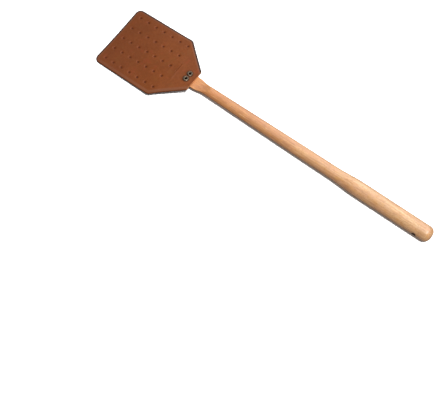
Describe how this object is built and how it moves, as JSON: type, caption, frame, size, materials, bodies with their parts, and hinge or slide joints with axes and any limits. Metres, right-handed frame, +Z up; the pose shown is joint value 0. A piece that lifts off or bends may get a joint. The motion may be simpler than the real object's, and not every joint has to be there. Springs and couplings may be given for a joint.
{
  "type": "fly swatter",
  "caption": "Fly swatter: a stiff perforated leather blade riveted to the flat tongue of a turned wooden handle with a thicker grip and a cross-drilled hanging hole.",
  "frame": {"origin": "bottom centre of the bounding box, on the table that the swatter lies on", "axes": "+X from the butt of the handle to the far edge of the blade, +Z up, out of the face of the blade that shows the rivet heads"},
  "size_m": [0.4388, 0.0874, 0.0188],
  "materials": {
    "wood": "oiled, satin",
    "leather": "smooth grain, burnished dark edges",
    "rivet_metal": "dull nickel"
  },
  "bodies": {
    "handle": {"handle": "wood", "leather_root": "leather", "rivet_left": "rivet_metal", "rivet_right": "rivet_metal", "washer_left": "rivet_metal", "washer_right": "rivet_metal"},
    "blade": {"leather_blade": "leather"}
  },
  "joints": [
    {"name": "blade_flex", "type": "hinge", "parent": "handle", "child": "blade", "pos_m": [0.13119, 0, 0.0114], "axis": [0, -1, 0], "range_deg": [0, 35], "stiffness_Nm_per_rad": 0.6, "springref_deg": -1.15}
  ]
}
